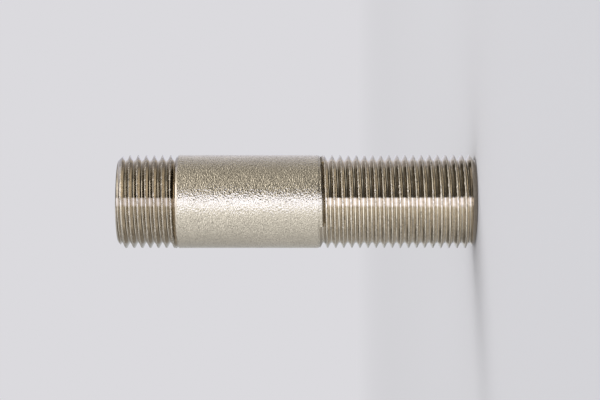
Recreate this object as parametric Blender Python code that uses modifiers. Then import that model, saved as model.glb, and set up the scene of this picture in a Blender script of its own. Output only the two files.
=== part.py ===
"""Long thread nipple: a piece of brass pipe, turned in one piece and nickel plated.

It stands on the end with the long thread. The axis is +Z, and the origin is the middle of the
lower end face. Both threads are right-handed parallel pipe threads, G 1/2, cut as helical
grooves into the turned blank. A straight bore runs from end to end. All sizes are in metres.
"""

import math

import bmesh
import bpy
from mathutils import Vector

# Lengths along the axis: each thread is measured from its end face to the plain shank
OVERALL_LENGTH = 0.0800
LONG_THREAD_LENGTH = 0.0353
SHORT_THREAD_LENGTH = 0.01385

# Diameters and wall
THREAD_DIAMETER = 0.020955
SHANK_DIAMETER = 0.0209
WALL_UNDER_THREAD = 0.0018

# Thread form: flanks at an angle to the radius, and crest and root cut flat
INCH = 0.0254
THREADS_PER_INCH = 14
THREAD_PITCH = INCH / THREADS_PER_INCH
FLANK_ANGLE = math.radians(27.5)
FLAT_SHARE = 1 / 6
FLAT_WIDTH = THREAD_PITCH * FLAT_SHARE
SHARP_HEIGHT = THREAD_PITCH / (2 * math.tan(FLANK_ANGLE))
THREAD_DEPTH = SHARP_HEIGHT * (1 - 2 * FLAT_SHARE)

# Chamfers, both at 45 degrees
END_CHAMFER = 0.0013
BORE_CHAMFER = 0.0005

# Where each groove fades into the shank: the angle is measured from +X, seen from above
RUN_OUT_TURN = 0.45
LONG_THREAD_END_ANGLE = math.radians(36)
SHORT_THREAD_END_ANGLE = math.radians(-171)

# Flat sides that stand for one full turn
SEGMENTS = 40

# The groove's cutter reaches past the surface, but less far than where its turns would meet
TURNS_MEET_HEIGHT = FLAT_WIDTH / 2 / math.tan(FLANK_ANGLE)
CUTTER_REACH_SHARE = 0.7
CUTTER_REACH = TURNS_MEET_HEIGHT * CUTTER_REACH_SHARE
CUTTER_OVERRUN_TURNS = 1
SHOULDER_CLEARANCE = 0.00005

MERGE_DISTANCE = 0.00001
SHARP_EDGE_ANGLE = math.radians(20)

THREAD_RADIUS = THREAD_DIAMETER / 2
SHANK_RADIUS = SHANK_DIAMETER / 2
BORE_RADIUS = THREAD_RADIUS - THREAD_DEPTH - WALL_UNDER_THREAD


def clear_scene():
    for thing in list(bpy.data.objects):
        bpy.data.objects.remove(thing, do_unlink=True)


def new_collection(name):
    collection = bpy.data.collections.new(name)
    bpy.context.scene.collection.children.link(collection)
    return collection


def nickel_plating():
    """Satin nickel over brass: a warm silver grey."""
    material = bpy.data.materials.new("nickel_plating")
    material.use_nodes = True
    shader = material.node_tree.nodes["Principled BSDF"]
    shader.inputs["Base Color"].default_value = (0.62, 0.57, 0.50, 1)
    shader.inputs["Metallic"].default_value = 1
    shader.inputs["Roughness"].default_value = 0.3
    return material


def blank_profile():
    """Half of the blank's section, once round: down the outer side, then up the bore."""
    top = OVERALL_LENGTH
    shank_top = OVERALL_LENGTH - SHORT_THREAD_LENGTH
    shank_bottom = LONG_THREAD_LENGTH
    face_radius = THREAD_RADIUS - END_CHAMFER
    mouth_radius = BORE_RADIUS + BORE_CHAMFER
    return [
        (mouth_radius, top),
        (face_radius, top),
        (THREAD_RADIUS, top - END_CHAMFER),
        (THREAD_RADIUS, shank_top),
        (SHANK_RADIUS, shank_top),
        (SHANK_RADIUS, shank_bottom),
        (THREAD_RADIUS, shank_bottom),
        (THREAD_RADIUS, END_CHAMFER),
        (face_radius, 0),
        (mouth_radius, 0),
        (BORE_RADIUS, BORE_CHAMFER),
        (BORE_RADIUS, top - BORE_CHAMFER),
    ]


def turned_blank(collection, material):
    """The pipe before it is threaded: its section, turned once round the axis."""
    outline = bmesh.new()
    corners = [outline.verts.new((radius, 0, height)) for radius, height in blank_profile()]
    for here, there in zip(corners, corners[1:] + corners[:1]):
        outline.edges.new((here, there))
    mesh = bpy.data.meshes.new("nipple_body")
    outline.to_mesh(mesh)
    outline.free()
    mesh.materials.append(material)

    blank = bpy.data.objects.new("nipple_body", mesh)
    collection.objects.link(blank)
    turn = blank.modifiers.new("turn", "SCREW")
    turn.axis = "Z"
    turn.angle = 2 * math.pi
    turn.steps = SEGMENTS
    turn.render_steps = SEGMENTS
    turn.use_merge_vertices = True
    turn.merge_threshold = MERGE_DISTANCE
    return blank


def groove_section(angle, height, depth):
    """The four corners of the groove at one angle round the axis, for one depth of cut."""
    root_half = FLAT_WIDTH / 2
    mouth_half = root_half + (depth + CUTTER_REACH) * math.tan(FLANK_ANGLE)
    root_radius = THREAD_RADIUS - depth
    mouth_radius = THREAD_RADIUS + CUTTER_REACH
    outward = Vector((math.cos(angle), math.sin(angle), 0))
    return [
        outward * root_radius + Vector((0, 0, height - root_half)),
        outward * root_radius + Vector((0, 0, height + root_half)),
        outward * mouth_radius + Vector((0, 0, height + mouth_half)),
        outward * mouth_radius + Vector((0, 0, height - mouth_half)),
    ]


def run_out_clearance():
    """From the middle of the groove's last, shallow section to the shank."""
    return FLAT_WIDTH / 2 + CUTTER_REACH * math.tan(FLANK_ANGLE) + SHOULDER_CLEARANCE


def thread_cutter(name, collection, start_height, start_angle, direction, length):
    """A right-handed helical groove, from its run-out at the shank to past the end face.

    direction is +1 for a thread that climbs away from the shank, and -1 for one that descends.
    """
    turns = length / THREAD_PITCH + CUTTER_OVERRUN_TURNS
    steps = math.ceil(turns * SEGMENTS)
    run_out_steps = RUN_OUT_TURN * SEGMENTS
    groove = bmesh.new()
    first = groove_section(start_angle, start_height, -CUTTER_REACH / 2)
    face = groove.faces.new([groove.verts.new(corner) for corner in first])
    for step in range(1, steps + 1):
        angle = start_angle + direction * step * 2 * math.pi / SEGMENTS
        height = start_height + direction * step * THREAD_PITCH / SEGMENTS
        depth = THREAD_DEPTH * min(1, step / run_out_steps)
        moved = bmesh.ops.extrude_face_region(groove, geom=[face])
        if step > 1:
            bmesh.ops.delete(groove, geom=[face], context="FACES_ONLY")
        face = next(part for part in moved["geom"] if isinstance(part, bmesh.types.BMFace))
        for corner, place in zip(face.verts, groove_section(angle, height, depth)):
            corner.co = place
    bmesh.ops.recalc_face_normals(groove, faces=groove.faces)
    mesh = bpy.data.meshes.new(name)
    groove.to_mesh(mesh)
    groove.free()

    cutter = bpy.data.objects.new(name, mesh)
    collection.objects.link(cutter)
    cutter.hide_render = True
    cutter.display_type = "WIRE"
    return cutter


def cut(body, cutter):
    groove = body.modifiers.new(cutter.name, "BOOLEAN")
    groove.operation = "DIFFERENCE"
    groove.solver = "EXACT"
    groove.object = cutter


def main():
    clear_scene()
    parts = new_collection("long_thread_nipple")
    cutters = new_collection("cutters")
    body = turned_blank(parts, nickel_plating())

    long_thread = thread_cutter(
        "long_thread_groove",
        cutters,
        start_height=LONG_THREAD_LENGTH - run_out_clearance(),
        start_angle=LONG_THREAD_END_ANGLE,
        direction=-1,
        length=LONG_THREAD_LENGTH,
    )
    short_thread = thread_cutter(
        "short_thread_groove",
        cutters,
        start_height=OVERALL_LENGTH - SHORT_THREAD_LENGTH + run_out_clearance(),
        start_angle=SHORT_THREAD_END_ANGLE,
        direction=1,
        length=SHORT_THREAD_LENGTH,
    )
    cut(body, long_thread)
    cut(body, short_thread)
    weld = body.modifiers.new("weld", "WELD")
    weld.merge_threshold = MERGE_DISTANCE
    body.data.shade_smooth()
    body.data.set_sharp_from_angle(angle=SHARP_EDGE_ANGLE)


main()
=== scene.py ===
# %% [markdown]
# # A long thread nipple
#
# A pipe nipple is a short piece of pipe with a thread at each end. This one is turned from brass
# and nickel plated, with a long thread, a plain shank and a short thread. It stands on the end of
# its long thread, and the camera is rolled by a quarter turn, so the picture shows it lying.
#
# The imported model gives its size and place. This lesson makes what that model is too coarse for:
# the rounded fine thread, the way it runs out at the shank, the plating, and the studio around it.

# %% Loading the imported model
import math

import bmesh
import bpy
from mathutils import Matrix, Vector


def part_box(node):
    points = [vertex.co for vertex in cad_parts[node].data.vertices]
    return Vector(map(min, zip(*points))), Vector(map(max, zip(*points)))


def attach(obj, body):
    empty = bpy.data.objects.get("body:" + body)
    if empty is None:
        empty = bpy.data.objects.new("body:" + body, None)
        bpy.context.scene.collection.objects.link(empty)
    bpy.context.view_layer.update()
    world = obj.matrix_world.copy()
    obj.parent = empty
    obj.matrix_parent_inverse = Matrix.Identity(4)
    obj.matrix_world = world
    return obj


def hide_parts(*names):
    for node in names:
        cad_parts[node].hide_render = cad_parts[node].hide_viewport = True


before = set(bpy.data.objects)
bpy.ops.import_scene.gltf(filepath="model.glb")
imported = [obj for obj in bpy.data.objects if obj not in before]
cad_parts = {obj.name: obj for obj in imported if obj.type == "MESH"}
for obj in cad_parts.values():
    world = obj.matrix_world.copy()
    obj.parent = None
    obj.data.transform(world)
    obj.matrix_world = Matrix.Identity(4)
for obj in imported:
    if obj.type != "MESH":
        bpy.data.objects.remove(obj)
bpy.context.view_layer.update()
low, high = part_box("nipple_body")
print("the packed nipple reaches from", low, "to", high)

# %% [markdown]
# ## Sizes of the pipe
#
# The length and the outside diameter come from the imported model, so that both models stay the
# same size. The bore isn't seen in the photograph. Blender measures in metres, so sizes in
# millimetres are multiplied by MM.

# %% Sizes of the pipe
MM = 0.001
LENGTH = high.z
THREAD_RADIUS = high.x
SHANK_RADIUS = 10.45 * MM
BORE_RADIUS = 7.515 * MM
END_CHAMFER = 1.3 * MM
BORE_CHAMFER = 0.5 * MM
print("length", round(LENGTH / MM, 2), "mm, across the threads", round(2 * THREAD_RADIUS / MM, 2), "mm")

# %% [markdown]
# ## Form of the thread
#
# A parallel pipe thread of this size has 14 turns to the inch, and its two flanks stand at 55
# degrees to each other. The flanks are drawn as a sharp V first, and the apex is where they would
# meet. How far apart they are at the crest is one value, and how deep the groove is cut is
# another, because the rounding of crest and root takes up the rest.

# %% Form of the thread
PITCH = 25.4 * MM / 14
FLANK_ANGLE = math.radians(27.5)
CREST_HALF_WIDTH = 0.11 * MM
THREAD_DEPTH = 1.2 * MM
APEX_RADIUS = THREAD_RADIUS - (PITCH / 2 - CREST_HALF_WIDTH) / math.tan(FLANK_ANGLE)
print("pitch", round(PITCH / MM, 3), "mm, sharp V", round((THREAD_RADIUS - APEX_RADIUS) / MM, 3), "mm deep")

# %% [markdown]
# ## One turn in flat sides
#
# Every round shape here is cut into the same number of sides. Then the corners of the blank and
# of the groove lie at the same angles, and the cut between them stays clean. With 96 sides the
# silhouette looks round at the size of the picture.

# %% One turn in flat sides
SEGMENTS = 96
STEP_ANGLE = 2 * math.pi / SEGMENTS
STEP_RISE = PITCH / SEGMENTS
print("one side is", round(THREAD_RADIUS * STEP_ANGLE / MM, 2), "mm wide")

# %% [markdown]
# ## The section of the blank
#
# A lathe turns the blank before the thread is cut, so the model starts the same way, from half of
# the section through the axis. A cylinder with holes cut into it would reach the same shape by a
# longer road. The narrow relief beside the long thread is where the thread tool leaves the work.

# %% The section of the blank
RELIEF_RADIUS = 10.30 * MM
RELIEF_START = 34.3 * MM
RELIEF_END = 34.9 * MM
RELIEF_WALL_END = 35.2 * MM
RELIEF_SLOPE = 0.15 * MM
SHOULDER_HEIGHT = 66.32 * MM
SHOULDER_STEP = 0.05 * MM

blank_section = [
    (BORE_RADIUS + BORE_CHAMFER, 0),
    (THREAD_RADIUS - END_CHAMFER, 0),
    (THREAD_RADIUS, END_CHAMFER),
    (THREAD_RADIUS, RELIEF_START - RELIEF_SLOPE),
    (RELIEF_RADIUS, RELIEF_START),
    (RELIEF_RADIUS, RELIEF_END),
    (SHANK_RADIUS, RELIEF_WALL_END),
    (SHANK_RADIUS, SHOULDER_HEIGHT),
    (THREAD_RADIUS, SHOULDER_HEIGHT + SHOULDER_STEP),
    (THREAD_RADIUS, LENGTH - END_CHAMFER),
    (THREAD_RADIUS - END_CHAMFER, LENGTH),
    (BORE_RADIUS + BORE_CHAMFER, LENGTH),
    (BORE_RADIUS, LENGTH - BORE_CHAMFER),
    (BORE_RADIUS, BORE_CHAMFER),
]
print("the section has", len(blank_section), "corners")

# %% [markdown]
# ## Spinning a section
#
# The spin operator turns a row of edges round an axis and leaves faces behind it, as a lathe
# does. For a full turn it is told to merge, or the last side would lie on the first as a seam. A
# spun mesh may come out with its faces pointing inwards, so its normals are recalculated, after
# its doubles are merged.

# %% Spinning a section
MERGE_DISTANCE = 0.001 * MM


def spun_shape(corners):
    """A closed section of radius and height, turned once round the axis."""
    shape = bmesh.new()
    points = [shape.verts.new((radius, 0, height)) for radius, height in corners]
    edges = [shape.edges.new(pair) for pair in zip(points, points[1:] + points[:1])]
    bmesh.ops.spin(
        shape,
        geom=points + edges,
        cent=(0, 0, 0),
        axis=(0, 0, 1),
        angle=2 * math.pi,
        steps=SEGMENTS,
        use_merge=True,
    )
    return shape


def closed_mesh(shape, name):
    """Turns a closed bmesh into a mesh object with its faces pointing outwards."""
    bmesh.ops.remove_doubles(shape, verts=shape.verts, dist=MERGE_DISTANCE)
    bmesh.ops.recalc_face_normals(shape, faces=shape.faces)
    mesh = bpy.data.meshes.new(name)
    shape.to_mesh(mesh)
    shape.free()
    thing = bpy.data.objects.new(name, mesh)
    bpy.context.scene.collection.objects.link(thing)
    return thing


# %% [markdown]
# ## The rims of the two ends
#
# No edge of a turned and plated part is quite sharp, and the rounding shows as a thin bright line
# on the rim. The rims of the two ends are found by their height and radius, and a bevel of three
# segments rounds them.

# %% Rounding the rims
RIM_ROUNDING = 0.2 * MM
RIM_SEGMENTS = 3
ROUND_PROFILE = 0.5
RIM_HEIGHTS = (0, END_CHAMFER, LENGTH - END_CHAMFER, LENGTH)
RIM_RADII = (THREAD_RADIUS - END_CHAMFER, THREAD_RADIUS)


def rim_at(shape, height):
    """The edges that run round the outside of the pipe at this height."""
    found = []
    for edge in shape.edges:
        radius = edge.verts[0].co.xy.length
        level = all(abs(end.co.z - height) < MERGE_DISTANCE for end in edge.verts)
        outside = any(abs(radius - rim) < MERGE_DISTANCE for rim in RIM_RADII)
        if level and outside:
            found.append(edge)
    return found


blank_shape = spun_shape(blank_section)
bmesh.ops.remove_doubles(blank_shape, verts=blank_shape.verts, dist=MERGE_DISTANCE)
bmesh.ops.recalc_face_normals(blank_shape, faces=blank_shape.faces)
for height in RIM_HEIGHTS:
    bmesh.ops.bevel(
        blank_shape,
        geom=rim_at(blank_shape, height),
        offset=RIM_ROUNDING,
        segments=RIM_SEGMENTS,
        profile=ROUND_PROFILE,
        affect="EDGES",
        material=-1,
    )
blank = closed_mesh(blank_shape, "blank")
print("the blank has", len(blank.data.polygons), "faces")

# %% [markdown]
# ## The section of the groove
#
# A thread is one long groove on a helix, and the crest is what it leaves standing. So the shape
# to draw is the groove's: a V whose mouth reaches a little past the surface. A vertex bevel
# rounds the root, and each side of the crest. The roundings matter more than anything else on
# this part, because each one catches the light as a thin bright line round the pipe. A bevel
# lifts the root by about half of its offset, so the offset follows from the groove's depth.
#
# Beside the shank the groove is cut on one side only. The same function draws that section too,
# with a flat wall in place of the flank.

# %% The outline of the groove
CREST_LAND = 0.02 * MM
CREST_DROP = 0.003 * MM
CUTTER_REACH = 0.2 * MM


def flank_width(radius):
    """Half of the width of the V at this radius."""
    return (radius - APEX_RADIUS) * math.tan(FLANK_ANGLE)


def groove_outline(shank_side=None):
    """Corners of radius and height, with +Z towards the shank; the first one is the root.

    With shank_side, the V is cut off by a wall at that height, as a half-formed groove.
    """
    crest_line = THREAD_RADIUS - CREST_DROP
    outside = THREAD_RADIUS + CUTTER_REACH
    land = PITCH / 2 - CREST_LAND
    crest = flank_width(crest_line)
    outline = [(APEX_RADIUS, 0), (crest_line, -crest), (crest_line, -land), (outside, -land)]
    if shank_side is None:
        return outline + [(outside, land), (crest_line, land), (crest_line, crest)]
    wall_foot = APEX_RADIUS + shank_side / math.tan(FLANK_ANGLE)
    return outline + [(outside, shank_side), (wall_foot, shank_side)]


print("the full groove's section has", len(groove_outline()), "corners")

# %% Rounding the root and the crests
ROOT_LIFT_SHARE = 0.52
ROOT_BEVEL = (THREAD_RADIUS - THREAD_DEPTH - APEX_RADIUS) / ROOT_LIFT_SHARE
ROOT_SEGMENTS = 8
CREST_BEVEL = 0.088 * MM
CREST_SEGMENTS = 5


def groove_face(groove, shank_side=None):
    """One face with the groove's rounded section, at angle 0 and height 0."""
    corners = [groove.verts.new((radius, 0, height)) for radius, height in groove_outline(shank_side)]
    groove.faces.new(corners)
    root = [corners[0]]
    crests = [corners[1], corners[6]] if shank_side is None else [corners[1]]
    for points, offset, segments in (
        (root, ROOT_BEVEL, ROOT_SEGMENTS),
        (crests, CREST_BEVEL, CREST_SEGMENTS),
    ):
        bmesh.ops.bevel(
            groove,
            geom=points,
            offset=offset,
            offset_type="OFFSET",
            segments=segments,
            profile=ROUND_PROFILE,
            affect="VERTICES",
            material=-1,
        )
    return groove.faces[:][0]


print("the bevel of the root begins", round(ROOT_BEVEL / MM, 2), "mm from the apex")

# %% [markdown]
# ## Where a groove is on its helix
#
# Both threads are right-handed: seen from above, the groove climbs as it turns anticlockwise. Its
# height at any angle follows from the height at +X, which was measured in the photograph at the
# pipe's upper edge. The upper thread's section is mirrored, so that its shank side faces down.

# %% Where a groove is on its helix
def groove_height(height_at_x, angle):
    """The height of a groove's middle at an angle from +X, on the right-handed helix."""
    return height_at_x + PITCH * angle / (2 * math.pi)


def place_section(groove, face, angle, height, mirrored):
    """Moves the first section to its angle and height."""
    points = list(face.verts)
    if mirrored:
        bmesh.ops.scale(groove, verts=points, vec=(1, 1, -1))
    turn = Matrix.Rotation(angle, 3, "Z")
    bmesh.ops.rotate(groove, verts=points, cent=(0, 0, 0), matrix=turn)
    bmesh.ops.translate(groove, verts=points, vec=(0, 0, height))


# %% [markdown]
# ## A groove of whole turns
#
# Given a rise per step, the spin operator makes a helix. One long spin would make the whole
# groove, but the operator looks at the whole mesh at each step and would take a minute. So it
# makes one turn, and copies of that turn, each a pitch further along, make the rest. The two
# caps of the turn go first, or they would be left inside the groove as walls.

# %% A groove of whole turns
def full_groove(name, angle, height, direction, turns):
    """A groove that starts at the shank and goes past the end face; direction 1 climbs."""
    groove = bmesh.new()
    face = groove_face(groove)
    place_section(groove, face, angle, height, mirrored=direction > 0)
    bmesh.ops.spin(
        groove,
        geom=[face, *face.edges, *face.verts],
        cent=(0, 0, 0),
        axis=(0, 0, 1),
        dvec=(0, 0, direction * STEP_RISE),
        angle=direction * 2 * math.pi,
        steps=SEGMENTS,
    )
    caps = [part for part in groove.faces if len(part.verts) > 4]
    bmesh.ops.delete(groove, geom=caps, context="FACES_ONLY")
    one_turn = groove.verts[:] + groove.edges[:] + groove.faces[:]
    for turn in range(1, turns):
        copy = bmesh.ops.duplicate(groove, geom=one_turn)
        points = [part for part in copy["geom"] if isinstance(part, bmesh.types.BMVert)]
        bmesh.ops.translate(groove, verts=points, vec=(0, 0, direction * turn * PITCH))
    bmesh.ops.remove_doubles(groove, verts=groove.verts, dist=MERGE_DISTANCE)
    bmesh.ops.holes_fill(groove, edges=[edge for edge in groove.edges if edge.is_boundary])
    return closed_mesh(groove, name)


# %% The long thread's groove
LONG_GROOVE_AT_X = 34.813 * MM
LONG_STEP_ANGLE = math.radians(-123)
LONG_TURNS = 20

long_groove = full_groove(
    "long_groove",
    angle=LONG_STEP_ANGLE,
    height=groove_height(LONG_GROOVE_AT_X, LONG_STEP_ANGLE),
    direction=-1,
    turns=LONG_TURNS,
)
print("the long groove has", len(long_groove.data.polygons), "faces")

# %% The short thread's groove
SHORT_GROOVE_AT_X = 67.312 * MM
SHORT_START_ANGLE = math.radians(-135)
SHORT_TURNS = 9

short_groove = full_groove(
    "short_groove",
    angle=SHORT_START_ANGLE,
    height=groove_height(SHORT_GROOVE_AT_X, SHORT_START_ANGLE),
    direction=1,
    turns=SHORT_TURNS,
)
print("the short groove has", len(short_groove.data.polygons), "faces")

# %% [markdown]
# ## Where the threads run out
#
# Beside the shank the long thread doesn't end with a full V. From a sharp step onwards only the
# flank on the thread's side is cut, and then the groove jumps to half its depth and fades. The
# short thread's groove climbs out of the metal in about a quarter of a turn. A spin keeps its
# section at one radius. So these are swept by hand, one extruded step after another, and each
# step may be lifted away from the axis.

# %% A groove that rises as it goes
def swept_groove(name, angle, height, direction, shank_side, passes):
    """A groove made step by step; each pass has its steps, its first lift and its lift per step."""
    groove = bmesh.new()
    face = groove_face(groove, shank_side)
    place_section(groove, face, angle, height, mirrored=direction < 0)
    turn = Matrix.Rotation(direction * STEP_ANGLE, 3, "Z")
    for steps, first_lift, lift in passes:
        for step in range(steps):
            grown = bmesh.ops.extrude_face_region(groove, geom=[face, *face.edges, *face.verts])
            face = next(part for part in grown["geom"] if isinstance(part, bmesh.types.BMFace))
            points = list(face.verts)
            bmesh.ops.rotate(groove, verts=points, cent=(0, 0, 0), matrix=turn)
            bmesh.ops.translate(groove, verts=points, vec=(0, 0, direction * STEP_RISE))
            middle = face.calc_center_median()
            outward = Vector((middle.x, middle.y, 0)).normalized()
            rise = lift + (first_lift if step == 0 else 0)
            bmesh.ops.translate(groove, verts=points, vec=outward * rise)
    return closed_mesh(groove, name)


# %% The half-formed groove of the long thread
HALF_GROOVE_WALL = 0.10 * MM
HALF_GROOVE_JUMP = 0.5 * MM
HALF_GROOVE_FADE = 0.03 * MM
LEVEL_STEPS = 25
FADING_STEPS = 30

half_start = LONG_STEP_ANGLE - STEP_ANGLE
half_groove = swept_groove(
    "half_groove",
    angle=half_start,
    height=groove_height(LONG_GROOVE_AT_X, half_start),
    direction=1,
    shank_side=HALF_GROOVE_WALL,
    passes=((LEVEL_STEPS, 0, 0), (FADING_STEPS, HALF_GROOVE_JUMP, HALF_GROOVE_FADE)),
)
print("the half-formed groove has", len(half_groove.data.polygons), "faces")

# %% The fading end of the short thread
SHORT_FADE = 0.05 * MM
SHORT_FADE_STEPS = 26

fade_start = SHORT_START_ANGLE + STEP_ANGLE
short_fade = swept_groove(
    "short_fade",
    angle=fade_start,
    height=groove_height(SHORT_GROOVE_AT_X, fade_start),
    direction=-1,
    shank_side=None,
    passes=((SHORT_FADE_STEPS, 0, SHORT_FADE),),
)
print("the fading end has", len(short_fade.data.polygons), "faces")

# %% [markdown]
# ## The shoulder of the short thread
#
# The short thread ends against a small sloping shoulder, which the photograph shows as a bright
# crescent. A slope in the blank's section alone wouldn't last, because the groove cuts through
# it. So a ring that stands for the shoulder is taken from the groove first. What is left of the
# groove then stops at that ring's two slopes: a gentle one at the shank, and a steep one below.

# %% The ring that keeps the shoulder
SHOULDER_ANGLE = math.radians(36)
SHOULDER_DROP = 0.44 * MM
WALL_ANGLE = math.radians(66)
KEEP_LOW = 60 * MM
KEEP_OUTSIDE = 12 * MM
KEEP_INSIDE = 8.4 * MM

edge_radius = SHANK_RADIUS - SHOULDER_DROP
edge_height = SHOULDER_HEIGHT + SHOULDER_DROP / math.tan(SHOULDER_ANGLE)
outside_height = SHOULDER_HEIGHT - (KEEP_OUTSIDE - SHANK_RADIUS) / math.tan(SHOULDER_ANGLE)
inside_height = edge_height + (edge_radius - KEEP_INSIDE) / math.tan(WALL_ANGLE)
keeper_section = [
    (KEEP_INSIDE, KEEP_LOW),
    (KEEP_OUTSIDE, KEEP_LOW),
    (KEEP_OUTSIDE, outside_height),
    (edge_radius, edge_height),
    (KEEP_INSIDE, inside_height),
]
shoulder_keeper = closed_mesh(spun_shape(keeper_section), "shoulder_keeper")
print("the shoulder slopes over", round((edge_height - SHOULDER_HEIGHT) / MM, 2), "mm")

# %% [markdown]
# ## Cutting the grooves
#
# The blank loses every groove to a Boolean modifier, as the work loses metal to the tool. The
# Manifold solver is fast on closed meshes such as these. The result is kept as a plain mesh, so
# that the nipple has no live modifier and the tools can be deleted.

# %% A helper that cuts
def cut_away(thing, tools):
    """Cuts each tool from thing, and leaves the result as a plain mesh."""
    for tool in tools:
        step = thing.modifiers.new(tool.name, "BOOLEAN")
        step.operation = "DIFFERENCE"
        step.solver = "MANIFOLD"
        step.object = tool
    ready = thing.evaluated_get(bpy.context.evaluated_depsgraph_get())
    mesh = bpy.data.meshes.new_from_object(ready)
    thing.modifiers.clear()
    thing.data = mesh
    return thing


# %% Cutting the nipple
for groove in (short_groove, short_fade):
    cut_away(groove, [shoulder_keeper])
grooves = [long_groove, half_groove, short_groove, short_fade]
nipple = cut_away(blank, grooves)
nipple.name = "nipple"
nipple.data.name = "nipple"
for tool in (*grooves, shoulder_keeper):
    bpy.data.objects.remove(tool)
print("the nipple has", len(nipple.data.polygons), "faces")

# %% [markdown]
# ## Smooth shading with sharp edges
#
# Shaded smooth, the flat sides of the thread look round. Where two faces meet at more than 17
# degrees the edge stays sharp, which keeps the shoulder and the chamfers crisp. The steps of the
# rounded crests and roots are all below that angle.

# %% Smooth shading with sharp edges
SHARP_ANGLE = math.radians(17)

nipple.data.shade_smooth()
nipple.data.set_sharp_from_angle(angle=SHARP_ANGLE)
sharp = sum(edge.use_edge_sharp for edge in nipple.data.edges)
print(sharp, "of", len(nipple.data.edges), "edges are sharp")

# %% [markdown]
# ## The plating's grain and patches
#
# The plating is thin, so it shows how the brass under it was worked: blasted and satin on the
# shank, cut and shiny on the threads, dull in the bore. All three finishes need the same two
# effects. One is a fine grain, and the other is a mask of patches, which stands for stains,
# specks and nicks alike, depending on its scale. An effect that several materials share is a node
# group. It is built once and placed in each material with its own values.
#
# Both groups read Object coordinates, which follow the mesh and need no unwrapping. They are
# multiplied by the number of grains per metre, one number round the pipe and one along it.

# %% An empty node group
def new_group(name, inputs, output):
    """A node group with number sockets for its inputs and its one output."""
    group = bpy.data.node_groups.new(name, "ShaderNodeTree")
    for label, start in inputs.items():
        socket = group.interface.new_socket(label, in_out="INPUT", socket_type="NodeSocketFloat")
        socket.default_value = start
    group.interface.new_socket(output, in_out="OUTPUT", socket_type="NodeSocketFloat")
    return group, group.nodes.new("NodeGroupInput"), group.nodes.new("NodeGroupOutput")


# %% A noise that is stretched along the pipe
def stretched_noise(tree, given, detail, roughness):
    """A noise with its grains per metre set by the group's Around and Along inputs."""
    place = tree.nodes.new("ShaderNodeTexCoord")
    scales = tree.nodes.new("ShaderNodeCombineXYZ")
    stretched = tree.nodes.new("ShaderNodeVectorMath")
    stretched.operation = "MULTIPLY"
    tree.links.new(given.outputs["Around"], scales.inputs["X"])
    tree.links.new(given.outputs["Around"], scales.inputs["Y"])
    tree.links.new(given.outputs["Along"], scales.inputs["Z"])
    tree.links.new(place.outputs["Object"], stretched.inputs[0])
    tree.links.new(scales.outputs["Vector"], stretched.inputs[1])
    texture = tree.nodes.new("ShaderNodeTexNoise")
    texture.inputs["Scale"].default_value = 1
    texture.inputs["Detail"].default_value = detail
    texture.inputs["Roughness"].default_value = roughness
    tree.links.new(stretched.outputs["Vector"], texture.inputs["Vector"])
    return texture.outputs["Fac"]


# %% The grain group
grain_group, given, result = new_group("grain", {"Around": 2000.0, "Along": 4000.0}, "Height")
grain_height = stretched_noise(grain_group, given, detail=0.5, roughness=0.5)
grain_group.links.new(grain_height, result.inputs["Height"])
print("the grain group has", len(grain_group.nodes), "nodes")

# %% The patches group
patch_inputs = {"Around": 150.0, "Along": 60.0, "From": 0.4, "To": 0.6}
patch_group, given, result = new_group("patches", patch_inputs, "Mask")
patch_height = stretched_noise(patch_group, given, detail=3, roughness=0.55)
patch_mask = patch_group.nodes.new("ShaderNodeMapRange")
patch_mask.interpolation_type = "SMOOTHSTEP"
patch_group.links.new(patch_height, patch_mask.inputs["Value"])
patch_group.links.new(given.outputs["From"], patch_mask.inputs["From Min"])
patch_group.links.new(given.outputs["To"], patch_mask.inputs["From Max"])
patch_group.links.new(patch_mask.outputs["Result"], result.inputs["Mask"])
print("the patches group has", len(patch_group.nodes), "nodes")

# %% [markdown]
# ## Helpers for the finishes
#
# Four small helpers keep each finish short. The first places a group with its own values, the
# second turns a height into a bump, the third maps a mask onto a range of gloss, and the fourth
# mixes two tones by a mask.

# %% Helpers for the finishes
def placed_group(tree, group, **values):
    """Places a node group in a material and sets its own values."""
    node = tree.nodes.new("ShaderNodeGroup")
    node.node_tree = group
    for label, value in values.items():
        node.inputs[label].default_value = value
    return node


def bump_node(tree, height, distance, under=None):
    """A bump of this height, on top of another bump where one is given."""
    bump = tree.nodes.new("ShaderNodeBump")
    bump.inputs["Strength"].default_value = 1
    bump.inputs["Distance"].default_value = distance
    tree.links.new(height, bump.inputs["Height"])
    if under is not None:
        tree.links.new(under, bump.inputs["Normal"])
    return bump.outputs["Normal"]


def range_node(tree, value, ends):
    """Maps a mask of 0 to 1 onto the range between two values."""
    span = tree.nodes.new("ShaderNodeMapRange")
    span.inputs["To Min"].default_value = ends[0]
    span.inputs["To Max"].default_value = ends[1]
    tree.links.new(value, span.inputs["Value"])
    return span.outputs["Result"]


def tone_node(tree, mask, first, second):
    """A colour between two tones, chosen by a mask; the first may be another node's colour."""
    mix = tree.nodes.new("ShaderNodeMix")
    mix.data_type = "RGBA"
    mix.inputs["B"].default_value = (*second, 1)
    tree.links.new(mask, mix.inputs["Factor"])
    if isinstance(first, tuple):
        mix.inputs["A"].default_value = (*first, 1)
    else:
        tree.links.new(first, mix.inputs["A"])
    return mix.outputs["Result"]


# %% [markdown]
# ## Metal that was turned on a lathe
#
# Nickel is a metal, so it has no colour of its own below the gloss: the base colour tints what it
# mirrors, and its warmth is that of nickel. Work from a lathe has fine lines round it, which
# smear the gloss along the pipe and leave it narrow round it. That is anisotropy. Its direction
# is the tangent, here the cross product of the pipe's axis and the place on the pipe.

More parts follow.
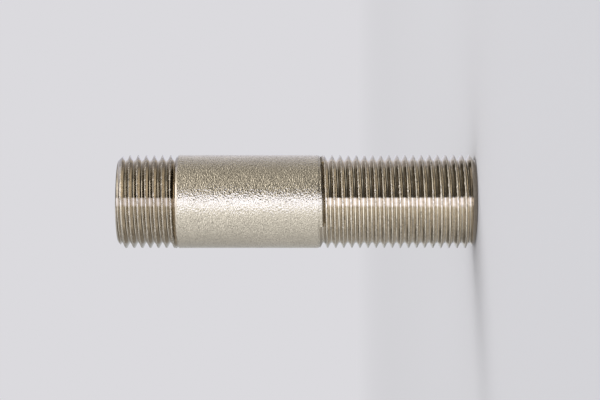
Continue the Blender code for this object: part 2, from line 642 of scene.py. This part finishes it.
# %% Metal that was turned on a lathe
def turned_metal(name, anisotropic):
    """A metal whose gloss is stretched along the pipe."""
    material = bpy.data.materials.new(name)
    material.use_nodes = True
    tree = material.node_tree
    shader = tree.nodes["Principled BSDF"]
    shader.inputs["Metallic"].default_value = 1
    shader.inputs["Anisotropic"].default_value = anisotropic
    shader.inputs["Anisotropic Rotation"].default_value = 0.25
    place = tree.nodes.new("ShaderNodeTexCoord")
    around = tree.nodes.new("ShaderNodeVectorMath")
    around.operation = "CROSS_PRODUCT"
    around.inputs[0].default_value = (0, 0, 1)
    tree.links.new(place.outputs["Object"], around.inputs[1])
    tree.links.new(around.outputs["Vector"], shader.inputs["Tangent"])
    return material, tree, shader


# %% [markdown]
# ## The satin shank
#
# Up close the shank is a blasted surface: a grain about as fine as the picture's pixels, with
# small dark specks. In the mesh it would take millions of faces, so it is a bump in the
# material. It has to be that coarse, because Blender's bump ignores what is finer than a pixel.
# Wide, faint patches change the tone and the gloss a little.

# %% The satin shank
SATIN_NICKEL = (0.66, 0.587, 0.468)
SATIN_PATCH = (0.63, 0.56, 0.446)
SATIN_SPECK = (0.50, 0.44, 0.35)
SATIN_GRAIN_DEPTH = 0.14 * MM
SATIN_ROUGHNESS = (0.26, 0.31)

shank_nickel, tree, shader = turned_metal("shank_nickel", anisotropic=0.85)
grain = placed_group(tree, grain_group, Around=2400.0, Along=4400.0)
patches = placed_group(tree, patch_group, Around=120.0, Along=50.0, From=0.35, To=0.65)
specks = placed_group(tree, patch_group, Around=2200.0, Along=4200.0, From=0.50, To=0.62)
tree.links.new(bump_node(tree, grain.outputs["Height"], SATIN_GRAIN_DEPTH), shader.inputs["Normal"])
tree.links.new(range_node(tree, patches.outputs["Mask"], SATIN_ROUGHNESS), shader.inputs["Roughness"])
tone = tone_node(tree, patches.outputs["Mask"], SATIN_NICKEL, SATIN_PATCH)
tone = tone_node(tree, specks.outputs["Mask"], tone, SATIN_SPECK)
tree.links.new(tone, shader.inputs["Base Color"])
print("the shank's finish has", len(tree.nodes), "nodes")

# %% [markdown]
# ## The shiny thread
#
# A cut thread is almost a mirror. Light that enters the groove bounces three times between the
# flanks before it leaves, and each bounce takes some of it and warms it. That is why the flanks
# look dark and brown, while the crests, with a single bounce, look white. A dark stripe painted
# into the groove would imitate it, but only from one side. The bounces do it by themselves, from
# all sides, as long as the base colour is right.
#
# Handling leaves nicks on the crests and nowhere else, so the mask of nicks is multiplied by one
# that grows from the flank to the crest. The distance from the axis tells them apart. The short
# thread is a little darker than the long one, and a second mask fades between them along the
# pipe.

# %% The gloss and grain of the thread
THREAD_GRAIN_DEPTH = 0.005 * MM
THREAD_ROUGHNESS = (0.05, 0.09)

thread_nickel, tree, shader = turned_metal("thread_nickel", anisotropic=0.0)
grain = placed_group(tree, grain_group, Around=1500.0, Along=3000.0)
grain_normal = bump_node(tree, grain.outputs["Height"], THREAD_GRAIN_DEPTH)
tree.links.new(range_node(tree, grain.outputs["Height"], THREAD_ROUGHNESS), shader.inputs["Roughness"])
print("the thread's grain is", round(THREAD_GRAIN_DEPTH / MM, 3), "mm deep")

# %% Nicks on the crests
NICK_DEPTH = 0.06 * MM
CREST_FROM = 10.25 * MM
CREST_TO = 10.42 * MM

nicks = placed_group(tree, patch_group, Around=1400.0, Along=2400.0, From=0.50, To=0.64)
place = tree.nodes.new("ShaderNodeTexCoord")
across = tree.nodes.new("ShaderNodeVectorMath")
across.operation = "MULTIPLY"
across.inputs[1].default_value = (1, 1, 0)
from_axis = tree.nodes.new("ShaderNodeVectorMath")
from_axis.operation = "LENGTH"
near_crest = tree.nodes.new("ShaderNodeMapRange")
near_crest.inputs["From Min"].default_value = CREST_FROM
near_crest.inputs["From Max"].default_value = CREST_TO
crest_nicks = tree.nodes.new("ShaderNodeMath")
crest_nicks.operation = "MULTIPLY"
tree.links.new(place.outputs["Object"], across.inputs[0])
tree.links.new(across.outputs["Vector"], from_axis.inputs[0])
tree.links.new(from_axis.outputs["Value"], near_crest.inputs["Value"])
tree.links.new(near_crest.outputs["Result"], crest_nicks.inputs[0])
tree.links.new(nicks.outputs["Mask"], crest_nicks.inputs[1])
nick_normal = bump_node(tree, crest_nicks.outputs["Value"], -NICK_DEPTH, under=grain_normal)
tree.links.new(nick_normal, shader.inputs["Normal"])
print("nicks begin", round((THREAD_RADIUS - CREST_FROM) / MM, 2), "mm below the crest")

# %% The tones of the two threads
LONG_THREAD_NICKEL = (0.655, 0.585, 0.48)
SHORT_THREAD_NICKEL = (0.49, 0.43, 0.345)
NICK_NICKEL = (0.55, 0.49, 0.40)
TONE_FROM = 50 * MM
TONE_TO = 66 * MM

along = tree.nodes.new("ShaderNodeSeparateXYZ")
towards_short = tree.nodes.new("ShaderNodeMapRange")
towards_short.inputs["From Min"].default_value = TONE_FROM
towards_short.inputs["From Max"].default_value = TONE_TO
tree.links.new(place.outputs["Object"], along.inputs["Vector"])
tree.links.new(along.outputs["Z"], towards_short.inputs["Value"])
tone = tone_node(tree, towards_short.outputs["Result"], LONG_THREAD_NICKEL, SHORT_THREAD_NICKEL)
tone = tone_node(tree, nicks.outputs["Mask"], tone, NICK_NICKEL)
tree.links.new(tone, shader.inputs["Base Color"])
print("the thread's finish has", len(tree.nodes), "nodes")

# %% [markdown]
# ## The dull places
#
# The bore, the end faces and the narrow half-formed groove were never polished, and plating is
# thinner inside a hole. They get a rougher and darker nickel, with wide stains that change both
# its tone and its gloss.

# %% The dull places
DULL_NICKEL = (0.64, 0.60, 0.53)
DULL_STAIN = (0.54, 0.50, 0.44)
DULL_GRAIN_DEPTH = 0.02 * MM
DULL_ROUGHNESS = (0.3, 0.45)

dull_nickel, tree, shader = turned_metal("dull_nickel", anisotropic=0.4)
grain = placed_group(tree, grain_group, Around=1200.0, Along=700.0)
stains = placed_group(tree, patch_group, Around=200.0, Along=80.0, From=0.35, To=0.65)
tree.links.new(bump_node(tree, grain.outputs["Height"], DULL_GRAIN_DEPTH), shader.inputs["Normal"])
tree.links.new(range_node(tree, stains.outputs["Mask"], DULL_ROUGHNESS), shader.inputs["Roughness"])
tone = tone_node(tree, stains.outputs["Mask"], DULL_NICKEL, DULL_STAIN)
tree.links.new(tone, shader.inputs["Base Color"])
print("the dull finish has", len(tree.nodes), "nodes")

# %% [markdown]
# ## Which face has which finish
#
# The nipple is one piece with three finishes, so the finish is chosen face by face. The height
# and the distance from the axis of a face's middle are enough to tell where it is. The materials
# are put in their slots first, because clearing the slots sets every face back to the first one.

# %% Which face has which finish
SHANK_FACE_RADIUS = 10.2 * MM
BORE_FACE_RADIUS = BORE_RADIUS + BORE_CHAMFER + 0.01 * MM
END_FACE_DEPTH = 0.01 * MM
SHANK_FROM = RELIEF_START - 0.1 * MM


def finish_of(middle):
    """The name of the finish for a face with its middle here."""
    radius = middle.xy.length
    on_end = min(middle.z, LENGTH - middle.z) < END_FACE_DEPTH
    if radius < BORE_FACE_RADIUS or on_end:
        return "dull"
    if SHANK_FROM < middle.z < SHOULDER_HEIGHT:
        return "shank" if radius > SHANK_FACE_RADIUS else "dull"
    return "thread"


nipple.data.materials.clear()
for material in (thread_nickel, shank_nickel, dull_nickel):
    nipple.data.materials.append(material)

finishes = ("thread", "shank", "dull")
counts = dict.fromkeys(finishes, 0)
for face in nipple.data.polygons:
    finish = finish_of(face.center)
    face.material_index = finishes.index(finish)
    counts[finish] += 1
print("faces for each finish:", counts)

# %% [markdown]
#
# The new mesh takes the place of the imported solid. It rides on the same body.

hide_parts("nipple_body")
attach(nipple, "root")
print("the nipple stands in for nipple_body")

# %% [markdown]
# ## The floor
#
# The nipple stands on plain pale paper. Near it the paper is a matt surface that takes its
# shadow. In a studio such paper is hung and curves up behind the object, so that no line shows
# between floor and backdrop. Here it is flat, and further out it fades into a plain glow of the
# backdrop's colour, which hides the line as well from every side.

# %% The floor's paper
BACKDROP = (0.708, 0.701, 0.730)
PAPER = (0.66, 0.655, 0.68)
FADE_FROM = 0.12
FADE_TO = 1.0

paper = bpy.data.materials.new("pale_floor")
paper.use_nodes = True
tree = paper.node_tree
shader = tree.nodes["Principled BSDF"]
shader.inputs["Base Color"].default_value = (*PAPER, 1)
shader.inputs["Roughness"].default_value = 1
shader.inputs["Specular IOR Level"].default_value = 0
far = tree.nodes.new("ShaderNodeEmission")
far.inputs["Color"].default_value = (*BACKDROP, 1)
place = tree.nodes.new("ShaderNodeTexCoord")
distance = tree.nodes.new("ShaderNodeVectorMath")
distance.operation = "LENGTH"
fade = tree.nodes.new("ShaderNodeMapRange")
fade.interpolation_type = "SMOOTHSTEP"
fade.inputs["From Min"].default_value = FADE_FROM
fade.inputs["From Max"].default_value = FADE_TO
mix = tree.nodes.new("ShaderNodeMixShader")
tree.links.new(place.outputs["Object"], distance.inputs[0])
tree.links.new(distance.outputs["Value"], fade.inputs["Value"])
tree.links.new(fade.outputs["Result"], mix.inputs["Fac"])
tree.links.new(shader.outputs["BSDF"], mix.inputs[1])
tree.links.new(far.outputs["Emission"], mix.inputs[2])
tree.links.new(mix.outputs["Shader"], tree.nodes["Material Output"].inputs["Surface"])
print("the paper's colour is", PAPER)

# %% The floor's mesh
FLOOR_RADIUS = 40

floor_shape = bmesh.new()
bmesh.ops.create_circle(floor_shape, cap_ends=True, radius=FLOOR_RADIUS, segments=SEGMENTS)
floor_mesh = bpy.data.meshes.new("floor")
floor_shape.to_mesh(floor_mesh)
floor_shape.free()
floor_mesh.materials.append(paper)
floor = bpy.data.objects.new("floor", floor_mesh)
bpy.context.scene.collection.objects.link(floor)
print("the floor fades out between", FADE_FROM, "and", FADE_TO, "m")

# %% [markdown]
# ## The world
#
# The world does two jobs. What the camera, a mirror or glass sees of it is the backdrop, a plain
# colour. What lights matt surfaces is an even white. The Light Path node tells the two kinds of
# ray apart, so that a pale backdrop doesn't have to be bought with more light.

# %% The world
WORLD_LIGHT = 0.65

world = bpy.data.worlds.new("studio")
bpy.context.scene.world = world
world.use_nodes = True
tree = world.node_tree
tree.nodes.clear()
seen = tree.nodes.new("ShaderNodeBackground")
seen.inputs["Color"].default_value = (*BACKDROP, 1)
even = tree.nodes.new("ShaderNodeBackground")
even.inputs["Color"].default_value = (1, 1, 1, 1)
even.inputs["Strength"].default_value = WORLD_LIGHT
rays = tree.nodes.new("ShaderNodeLightPath")
mix = tree.nodes.new("ShaderNodeMixShader")
out = tree.nodes.new("ShaderNodeOutputWorld")
either = rays.outputs["Is Camera Ray"]
for kind in ("Is Glossy Ray", "Is Transmission Ray"):
    larger = tree.nodes.new("ShaderNodeMath")
    larger.operation = "MAXIMUM"
    tree.links.new(either, larger.inputs[0])
    tree.links.new(rays.outputs[kind], larger.inputs[1])
    either = larger.outputs["Value"]
tree.links.new(either, mix.inputs["Fac"])
tree.links.new(even.outputs["Background"], mix.inputs[1])
tree.links.new(seen.outputs["Background"], mix.inputs[2])
tree.links.new(mix.outputs["Shader"], out.inputs["Surface"])
world.cycles.sampling_method = "NONE"
print("the backdrop's colour is", BACKDROP)

# %% [markdown]
# ## Cards that the metal mirrors
#
# Metal shows its surroundings, so in a studio it stands among pale and dark cards. A picture of
# a studio round the world would do the same, but cards are plain shapes that can be changed one
# by one. Here they are rings round the nipple, one above the other, and each is seen by a
# different part of the thread: the flanks see the low ones, the rounded roots those a little
# higher, and the crests the high ones. Round each ring the glow changes with the angle from the
# camera: a bright front makes the highlight, and a dark part after it makes the deep shade
# above the highlight.
#
# Only glossy rays see the cards. They cast no light or shadow on the floor, and the camera looks
# through them.

# %% The glow of a ring
def ring_glow(name, stops):
    """A glow whose colour changes with the angle round the pipe, from -180 to 180 degrees."""
    material = bpy.data.materials.new(name)
    material.use_nodes = True
    tree = material.node_tree
    tree.nodes.clear()
    place = tree.nodes.new("ShaderNodeTexCoord")
    turned = tree.nodes.new("ShaderNodeMapping")
    turned.inputs["Rotation"].default_value = (0, 0, math.radians(90))
    radial = tree.nodes.new("ShaderNodeTexGradient")
    radial.gradient_type = "RADIAL"
    ramp = tree.nodes.new("ShaderNodeValToRGB")
    glow = tree.nodes.new("ShaderNodeEmission")
    out = tree.nodes.new("ShaderNodeOutputMaterial")
    tree.links.new(place.outputs["Object"], turned.inputs["Vector"])
    tree.links.new(turned.outputs["Vector"], radial.inputs["Vector"])
    tree.links.new(radial.outputs["Fac"], ramp.inputs["Fac"])
    tree.links.new(ramp.outputs["Color"], glow.inputs["Color"])
    tree.links.new(glow.outputs["Emission"], out.inputs["Surface"])
    elements = ramp.color_ramp.elements
    elements.remove(elements[-1])
    for number, (angle, colour) in enumerate(stops):
        where = (angle + 180) / 360
        stop = elements[0] if number == 0 else elements.new(where)
        stop.position = where
        stop.color = (*colour, 1)
    material.cycles.emission_sampling = "NONE"
    return material


# %% The shape of a ring
CARD_SIDES = 72


def ring_card(name, lower, upper, stops):
    """A ring that only glossy rays see, between two points of radius and height."""
    shape = bmesh.new()
    points = [shape.verts.new((radius, 0, height)) for radius, height in (lower, upper)]
    edge = shape.edges.new(points)
    bmesh.ops.spin(
        shape,
        geom=[*points, edge],
        cent=(0, 0, 0),
        axis=(0, 0, 1),
        angle=2 * math.pi,
        steps=CARD_SIDES,
        use_merge=True,
    )
    mesh = bpy.data.meshes.new(name)
    shape.to_mesh(mesh)
    shape.free()
    mesh.materials.append(ring_glow(name, stops))
    thing = bpy.data.objects.new(name, mesh)
    bpy.context.scene.collection.objects.link(thing)
    thing.visible_camera = False
    thing.visible_diffuse = False
    thing.visible_shadow = False
    thing.visible_transmission = False
    print("card", name, "with", len(mesh.polygons), "sides")


# %% [markdown]
# ## The light round a ring
#
# All rings share one plan: the angle 0 is towards the camera, positive angles are the side that
# the picture shows above the highlight, and negative ones the side below it. The front is a
# slightly blue daylight, and the light on the other sides is close to white. A ring is then
# given by a few levels before the front, the level of the front, and a few levels after it.

# %% The light round a ring
FRONT_FIRST = -12.5
FRONT_LAST = 9.8
SOFT_EDGE = 3
HARD_EDGE = 1.6
BACK_FROM = 112
BELOW_TINT = (0.98, 1.01, 1.06)
FRONT_TINT = (0.93, 1.0, 1.27)
SHADE_TINT = (1, 0.98, 0.93)
BACK_TINT = (0.95, 0.97, 1.12)


def tint_at(angle):
    """The colour of the light from one side of the nipple."""
    if angle < FRONT_FIRST:
        return BELOW_TINT
    if angle < FRONT_LAST:
        return FRONT_TINT
    return SHADE_TINT if angle < BACK_FROM else BACK_TINT


def lit_round(before, front, after):
    """Colours round a ring: levels before the bright front, the front, and levels after it."""
    levels = [
        *before,
        (FRONT_FIRST - SOFT_EDGE, before[-1][1]),
        (FRONT_FIRST + SOFT_EDGE, front),
        (FRONT_LAST - HARD_EDGE, front),
        (FRONT_LAST + HARD_EDGE, after[0][1]),
        *after,
    ]
    return [(angle, tuple(level * part for part in tint_at(angle))) for angle, level in levels]


print("the bright front is", round(FRONT_LAST - FRONT_FIRST, 1), "degrees wide")

# %% [markdown]
# ## Rings that lie on the floor
#
# The half of the thread that faces down the pipe mirrors the floor. These rings lie just above
# the paper. The second one lights the roots, and is the brightest.

# %% Rings that lie on the floor
CARD_DISTANCE = 1.0
CARD_HEIGHT = 0.2 * MM
NEAR_FROM = 12.5 * MM
ROOT_FROM = 60 * MM
WIDE_FROM = 110 * MM
FAR_FROM = 300 * MM


def on_floor(distance):
    """A point of radius and height just above the floor."""
    return (distance, CARD_HEIGHT)


ring_card(
    "near_floor_card",
    on_floor(NEAR_FROM),
    on_floor(ROOT_FROM),
    lit_round(
        [(-180, 0.4), (-80, 0.2), (-55, 0.5), (-25, 0.9)],
        1.8,
        [(15, 0.1), (105, 0.1), (118, 0.5), (180, 0.5)],
    ),
)
ring_card(
    "root_floor_card",
    on_floor(ROOT_FROM),
    on_floor(WIDE_FROM),
    lit_round(
        [(-180, 0.4), (-120, 0.4), (-95, 1.0), (-45, 1.7), (-25, 1.8)],
        2.3,
        [(15, 0.2), (35, 0.3), (55, 0.7), (108, 0.3), (118, 0.5), (180, 0.5)],
    ),
)
ring_card(
    "wide_floor_card",
    on_floor(WIDE_FROM),
    on_floor(FAR_FROM),
    lit_round(
        [(-180, 0.5), (-150, 0.5), (-115, 0.9), (-45, 0.7), (-25, 0.9)],
        2.1,
        [(15, 0.1), (60, 0.3), (95, 0.5), (120, 0.8), (150, 0.5), (180, 0.6)],
    ),
)
ring_card(
    "far_floor_card",
    on_floor(FAR_FROM),
    on_floor(CARD_DISTANCE),
    lit_round(
        [(-180, 0.6), (-110, 0.5), (-40, 0.6), (-25, 0.9)],
        2.2,
        [(15, 0.1), (95, 0.1), (112, 0.25), (128, 0.7), (150, 1.2), (180, 0.8)],
    ),
)

# %% [markdown]
# ## Rings at the height of the nipple
#
# These stand like a round wall a metre away, and each covers a few degrees above the horizon. The
# two low ones light the flanks, and are dark above the highlight. The root card lights the roots.

# %% Rings at the height of the nipple
FLANK_EDGE = 7
ROOT_EDGE = 15
CREST_EDGE = 24


def on_wall(degrees):
    """The point of the wall that the middle of the nipple sees at this elevation."""
    return (CARD_DISTANCE, LENGTH / 2 + CARD_DISTANCE * math.tan(math.radians(degrees)))


ring_card(
    "horizon_card",
    on_floor(CARD_DISTANCE),
    on_wall(FLANK_EDGE),
    lit_round(
        [(-180, 0.7), (-150, 0.6), (-95, 0.3), (-45, 0.2), (-25, 0.8)],
        2.2,
        [(15, 0), (95, 0), (115, 0.35), (130, 0.6), (150, 1.0), (180, 0.8)],
    ),
)
ring_card(
    "flank_card",
    on_wall(FLANK_EDGE),
    on_wall(ROOT_EDGE),
    lit_round(
        [(-180, 0.7), (-150, 0.5), (-120, 0.7), (-45, 0.5), (-25, 0.9)],
        2.1,
        [(15, 0), (45, 0.2), (70, 0.2), (95, 0.8), (110, 1.0), (180, 0.8)],
    ),
)
ring_card(
    "root_card",
    on_wall(ROOT_EDGE),
    on_wall(CREST_EDGE),
    lit_round(
        [(-180, 0.6), (-120, 0.6), (-95, 1.5), (-45, 1.9), (-25, 1.9)],
        2.3,
        [(15, 0.1), (35, 0.2), (55, 0.8), (95, 0.9), (120, 0.5), (180, 0.7)],
    ),
)

# %% [markdown]
# ## Rings above the nipple
#
# The crests mirror the two high rings of the wall, which are bright beside the front, so that the
# crests stay white lines where the flanks are dark. The shoulder of the short thread mirrors the
# ceiling. Its brightest part makes the white crescent, and ends where the crescent ends.

# %% Rings above the nipple
UPPER_EDGE = 40
CEILING_EDGE = 62
OVERHEAD_EDGE = 78
OVERHEAD_END = 89.9
CEILING_TINT = (1, 1, 1.06)
OVERHEAD_GLOW = (0.35, 0.35, 0.36)


def on_ceiling(degrees):
    """The point of the ceiling that the middle of the nipple sees at this elevation."""
    height = on_wall(CEILING_EDGE)[1]
    return ((height - LENGTH / 2) / math.tan(math.radians(degrees)), height)


def tinted(levels, tint):
    """Colours round a ring, all of one tint."""
    return [(angle, tuple(level * part for part in tint)) for angle, level in levels]


ring_card(
    "crest_card",
    on_wall(CREST_EDGE),
    on_wall(UPPER_EDGE),
    lit_round(
        [(-180, 0.6), (-120, 0.4), (-95, 0.7), (-75, 1.5), (-25, 1.7)],
        2.0,
        [(15, 2.2), (30, 2.6), (55, 2.5), (70, 1.7), (100, 1.0), (120, 0.5), (180, 0.8)],
    ),
)
ring_card(
    "upper_card",
    on_wall(UPPER_EDGE),
    on_wall(CEILING_EDGE),
    lit_round(
        [(-180, 0.3), (-150, 0.7), (-110, 0.9), (-45, 1.2), (-25, 1.7)],
        2.0,
        [(15, 1.9), (30, 2.1), (55, 2.1), (70, 1.5), (100, 1.2), (120, 0.9), (180, 0.8)],
    ),
)
ring_card(
    "ceiling_card",
    on_wall(CEILING_EDGE),
    on_ceiling(OVERHEAD_EDGE),
    tinted(
        [(-180, 0.8), (-120, 1.2), (-20, 1.7), (-10, 2.4), (104, 2.4), (114, 0.35), (180, 0.6)],
        CEILING_TINT,
    ),
)
ring_card("overhead_card", on_ceiling(OVERHEAD_EDGE), on_ceiling(OVERHEAD_END), [(-180, OVERHEAD_GLOW)])

# %% [markdown]
# ## Lamps for the floor
#
# The cards give the floor no light, so two softboxes do: one in front and one above. They light
# the paper and give the nipple its soft shadow. They are hidden from glossy rays, because their
# own mirror images would lie over those of the cards.

# %% Lamps for the floor
def softbox(name, towards, lengthwise, distance, length, width, level, colour=(1, 1, 1)):
    """A softbox that faces the nipple; its level is the brightness of its own surface."""
    lamp = bpy.data.lights.new(name, "AREA")
    lamp.shape = "RECTANGLE"
    lamp.size = length
    lamp.size_y = width
    lamp.energy = level * length * width * math.pi
    lamp.color = colour
    thing = bpy.data.objects.new(name, lamp)
    bpy.context.scene.collection.objects.link(thing)
    back = Vector(towards).normalized()
    side = Vector(lengthwise)
    side = (side - back * side.dot(back)).normalized()
    up = back.cross(side)
    turn = Matrix((side, up, back)).transposed().to_4x4()
    thing.matrix_world = Matrix.Translation(Vector((0, 0, LENGTH / 2)) + back * distance) @ turn
    thing.visible_camera = False
    thing.visible_glossy = False
    print(name, "gives", round(lamp.energy, 1), "W")


softbox(
    "front_light",
    towards=(-0.037, -1, 0),
    lengthwise=(1, 0, 0),
    distance=0.95,
    length=0.40,
    width=0.80,
    level=2.8,
    colour=(0.95, 1.0, 1.13),
)
softbox(
    "top_light",
    towards=(0.30, 0.16, 0.94),
    lengthwise=(0.58, 0.58, -0.35),
    distance=1.0,
    length=1.0,
    width=0.35,
    level=4.0,
)

# %% [markdown]
# ## The camera
#
# In the photograph the nearer edges of the two ends are spread by perspective by two percent,
# which puts the camera just under half a metre away. The lens then follows from the size of the
# nipple in the picture. The camera looks along +Y and is rolled by a quarter turn, so that the
# short thread is on the left.

# %% The camera
CAMERA_PLACE = (0.000337, -0.466, 0.03921)
LENS = 124.4
SENSOR_WIDTH = 36

camera_data = bpy.data.cameras.new("camera")
camera_data.lens = LENS
camera_data.sensor_width = SENSOR_WIDTH
camera_data.clip_start = 0.01
camera_data.clip_end = 100
camera = bpy.data.objects.new("camera", camera_data)
bpy.context.scene.collection.objects.link(camera)
rolled = Matrix(((0, 1, 0, 0), (0, 0, -1, 0), (-1, 0, 0, 0), (0, 0, 0, 1)))
camera.matrix_world = Matrix.Translation(CAMERA_PLACE) @ rolled
bpy.context.scene.camera = camera
bpy.context.scene.view_settings.view_transform = "Standard"
print("the camera is", round((camera.location - Vector((0, 0, LENGTH / 2))).length, 3), "m away")
